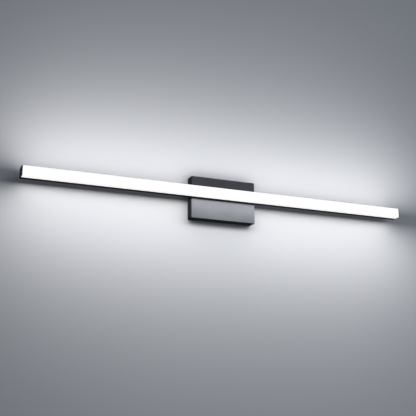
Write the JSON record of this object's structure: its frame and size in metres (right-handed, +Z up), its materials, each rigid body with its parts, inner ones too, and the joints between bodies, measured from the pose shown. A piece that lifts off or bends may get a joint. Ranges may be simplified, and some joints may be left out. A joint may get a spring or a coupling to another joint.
{
  "type": "vanity light bar",
  "caption": "Wall light for over a mirror: a slim square-section luminous bar bolted across the front of a flat rectangular dark metal canopy.",
  "frame": {"origin": "midway between the two wall-box slots of the mounting strap, on the wall plane, which is the middle of the canopy's back", "axes": "+X along the bar, to the right as seen from the front; +Y into the wall; +Z up. The canopy's back is at y = 0 and everything else is at negative y."},
  "size_m": [0.94, 0.053, 0.1],
  "materials": {
    "black_powder_coat": "satin charcoal powder coat",
    "black_anodised": "black anodised, satin",
    "zinc_plate": "bright zinc plating",
    "black_screw": "black oxide",
    "green_screw": "green dyed plating",
    "tinned_copper": "tin plated",
    "green_pvc": "soft insulation",
    "black_pvc": "soft insulation",
    "white_pvc": "soft insulation",
    "red_pvc": "soft insulation",
    "orange_plastic": "moulded nylon",
    "driver_plastic": "moulded, fine spark texture",
    "circuit_board": "green solder mask",
    "ferrite": "sintered, with a taped winding",
    "capacitor_sleeve": "shrunk plastic sleeve",
    "foam_tape": "closed-cell foam",
    "black_rubber": "moulded rubber",
    "opal_acrylic": "satin opal, lit from inside",
    "white_board": "white solder mask on aluminium",
    "diode": "yellow phosphor in a white frame"
  },
  "bodies": {
    "root": {"canopy_cover": "black_powder_coat", "mounting_strap": "zinc_plate", "cover_screws": "black_screw", "ground_screw": "green_screw", "ground_terminal": "tinned_copper", "ground_lead": "green_pvc", "wire_nuts": "orange_plastic", "live_lead": "black_pvc", "neutral_lead": "white_pvc", "driver_base": "driver_plastic", "driver_lid": "driver_plastic", "driver_board": "circuit_board", "driver_transformer": "ferrite", "driver_capacitors": "capacitor_sleeve", "driver_tape": "foam_tape", "lamp_lead_positive": "red_pvc", "lamp_lead_negative": "black_pvc", "cable_grommet": "black_rubber", "bar_screws": "zinc_plate", "bar_washers": "zinc_plate", "bar_channel": "black_anodised", "diffuser": "opal_acrylic", "led_board_left": "white_board", "led_board_right": "white_board", "leds_left": "diode", "leds_right": "diode", "board_screws": "zinc_plate", "board_links": "white_pvc", "lamp_connector": "white_pvc", "end_cap_left": "black_anodised", "end_cap_right": "black_anodised", "end_cap_screws": "black_screw"}
  },
  "joints": []
}
